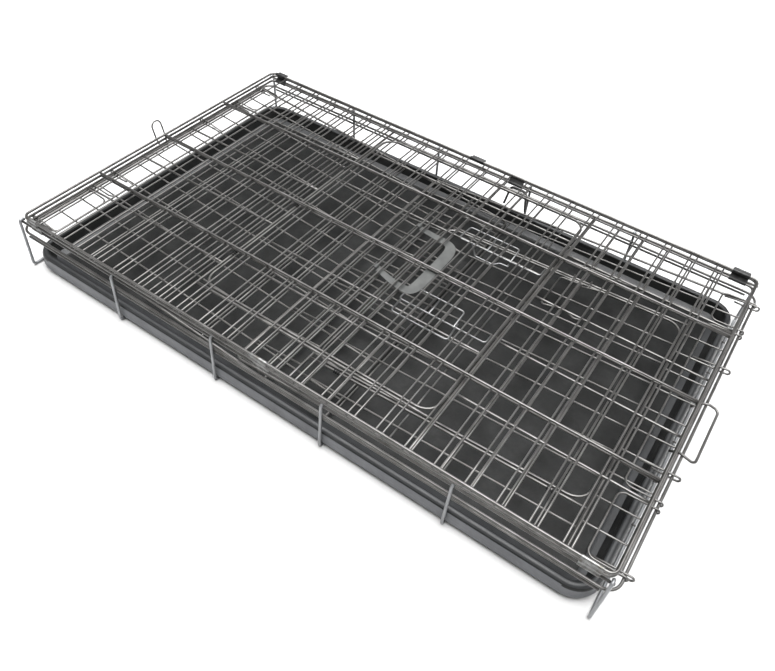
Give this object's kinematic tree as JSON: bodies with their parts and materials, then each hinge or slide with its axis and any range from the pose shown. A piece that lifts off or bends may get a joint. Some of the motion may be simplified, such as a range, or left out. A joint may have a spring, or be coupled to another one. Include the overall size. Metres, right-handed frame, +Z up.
{
  "type": "wire dog crate",
  "caption": "Folding welded-wire dog crate lying folded flat: base with pull-out tray, hinged side, roof and end panels, wire doors with slide-bolt latches and a carry handle.",
  "frame": {"origin": "on the floor, under the middle of the folded crate", "axes": "+X along the long side towards the end with the end door, +Y from the side with the side door to the back, +Z up"},
  "size_m": [1.3189, 0.773, 0.1419],
  "materials": {
    "black_wire": "satin electrocoated dark wire",
    "zinc_clip": "plain zinc-grey rolled sheet",
    "black_clip": "black coated sheet",
    "tray_plastic": "fine-grained moulded plastic",
    "handle_plastic": "matte moulded plastic"
  },
  "bodies": {
    "base": {"base_floor_grid": "black_wire", "base_wall_front": "black_wire", "base_wall_back": "black_wire", "base_end_left": "black_wire", "base_end_right": "black_wire", "rear_bracket": "black_clip", "rail_clip_left": "zinc_clip", "rail_clip_middle": "zinc_clip", "rail_clip_right": "zinc_clip"},
    "tray": {"tray_floor": "tray_plastic", "tray_rim_front": "tray_plastic", "tray_rim_back": "tray_plastic", "tray_rim_left": "tray_plastic", "tray_rim_right": "tray_plastic", "tray_corner_front_left": "tray_plastic", "tray_corner_front_right": "tray_plastic", "tray_corner_back_left": "tray_plastic", "tray_corner_back_right": "tray_plastic"},
    "tray_stop": {"tray_stop": "black_wire"},
    "left_loop": {"left_loop": "black_wire"},
    "front_panel": {"front_panel_left": "black_wire", "front_panel_right": "black_wire", "front_panel_sill": "black_wire", "front_panel_header": "black_wire", "rear_clip_left": "black_clip", "rear_clip_middle": "black_clip", "rear_clip_right": "black_clip"},
    "side_door": {"side_door": "black_wire", "door_hinge_eye_1": "black_wire", "door_hinge_eye_2": "black_wire", "door_hinge_eye_3": "black_wire"},
    "side_latch_upper": {"side_latch_upper": "black_wire"},
    "side_latch_lower": {"side_latch_lower": "black_wire"},
    "roof": {"roof_panel": "black_wire", "roof_clip_left": "zinc_clip", "roof_clip_middle": "zinc_clip", "roof_clip_right": "zinc_clip"},
    "carry_handle": {"carry_handle": "handle_plastic"},
    "back_panel": {"back_panel": "black_wire", "back_hook_left": "black_clip", "back_hook_middle": "black_clip", "back_hook_right": "black_clip"},
    "left_end_panel": {"left_end_panel": "black_wire"},
    "right_end_panel": {"right_end_bottom": "black_wire", "right_end_top": "black_wire", "right_end_front": "black_wire", "right_end_back": "black_wire"},
    "end_door": {"end_door": "black_wire", "end_hinge_eye_1": "black_wire", "end_hinge_eye_2": "black_wire"},
    "end_latch": {"end_latch": "black_wire"}
  },
  "joints": [
    {"name": "front_panel_fold", "type": "hinge", "parent": "base", "child": "front_panel", "pos_m": [0, -0.3735, 0.118], "axis": [1, 0, 0], "range_deg": [0, 90]},
    {"name": "roof_fold", "type": "hinge", "parent": "front_panel", "child": "roof", "pos_m": [0, 0.3615, 0.1275], "axis": [1, 0, 0], "range_deg": [-270, 0]},
    {"name": "back_panel_fold", "type": "hinge", "parent": "roof", "child": "back_panel", "pos_m": [0, -0.3785, 0.137], "axis": [1, 0, 0], "range_deg": [0, 90]},
    {"name": "side_door_swing", "type": "hinge", "parent": "front_panel", "child": "side_door", "pos_m": [-0.231, 0, 0.118], "axis": [0, -1, 0], "range_deg": [0, 31.5]},
    {"name": "side_latch_upper_slide", "type": "slide", "parent": "side_door", "child": "side_latch_upper", "axis": [-1, 0, 0], "range_m": [0, 0.02]},
    {"name": "side_latch_lower_slide", "type": "slide", "parent": "side_door", "child": "side_latch_lower", "axis": [-1, 0, 0], "range_m": [0, 0.02]},
    {"name": "carry_handle_swing", "type": "hinge", "parent": "roof", "child": "carry_handle", "pos_m": [0.0105, 0, 0.1302], "axis": [0, 1, 0], "range_deg": [0, 90]},
    {"name": "left_end_panel_fold", "type": "hinge", "parent": "base", "child": "left_end_panel", "pos_m": [-0.635, 0, 0.085], "axis": [0, -1, 0], "range_deg": [0, 5.4]},
    {"name": "right_end_panel_fold", "type": "hinge", "parent": "base", "child": "right_end_panel", "pos_m": [0.635, 0, 0.085], "axis": [0, 1, 0], "range_deg": [0, 9]},
    {"name": "end_door_swing", "type": "hinge", "parent": "right_end_panel", "child": "end_door", "pos_m": [0.635, -0.269, 0.085], "axis": [0.9986, 0, 0.0523], "range_deg": [0, 45]},
    {"name": "end_latch_slide", "type": "slide", "parent": "end_door", "child": "end_latch", "axis": [0, -1, 0], "range_m": [0, 0.02]},
    {"name": "tray_slide", "type": "slide", "parent": "base", "child": "tray", "axis": [1, 0, 0], "range_m": [0, 0.3]},
    {"name": "tray_stop_swing", "type": "hinge", "parent": "base", "child": "tray_stop", "pos_m": [0.635, 0, 0.085], "axis": [0, 1, 0], "range_deg": [0, 90]},
    {"name": "left_loop_swing", "type": "hinge", "parent": "base", "child": "left_loop", "pos_m": [-0.635, 0, 0.085], "axis": [0, -1, 0], "range_deg": [0, 90]}
  ],
  "couplings": [
    {"joint": "roof_fold", "follows": "front_panel_fold", "ratio": -3},
    {"joint": "back_panel_fold", "follows": "front_panel_fold", "ratio": 1},
    {"joint": "side_door_swing", "follows": "front_panel_fold", "ratio": 0.35},
    {"joint": "carry_handle_swing", "follows": "front_panel_fold", "ratio": 1},
    {"joint": "left_end_panel_fold", "follows": "front_panel_fold", "ratio": 0.06},
    {"joint": "right_end_panel_fold", "follows": "front_panel_fold", "ratio": 0.1},
    {"joint": "end_door_swing", "follows": "front_panel_fold", "ratio": 0.5}
  ]
}
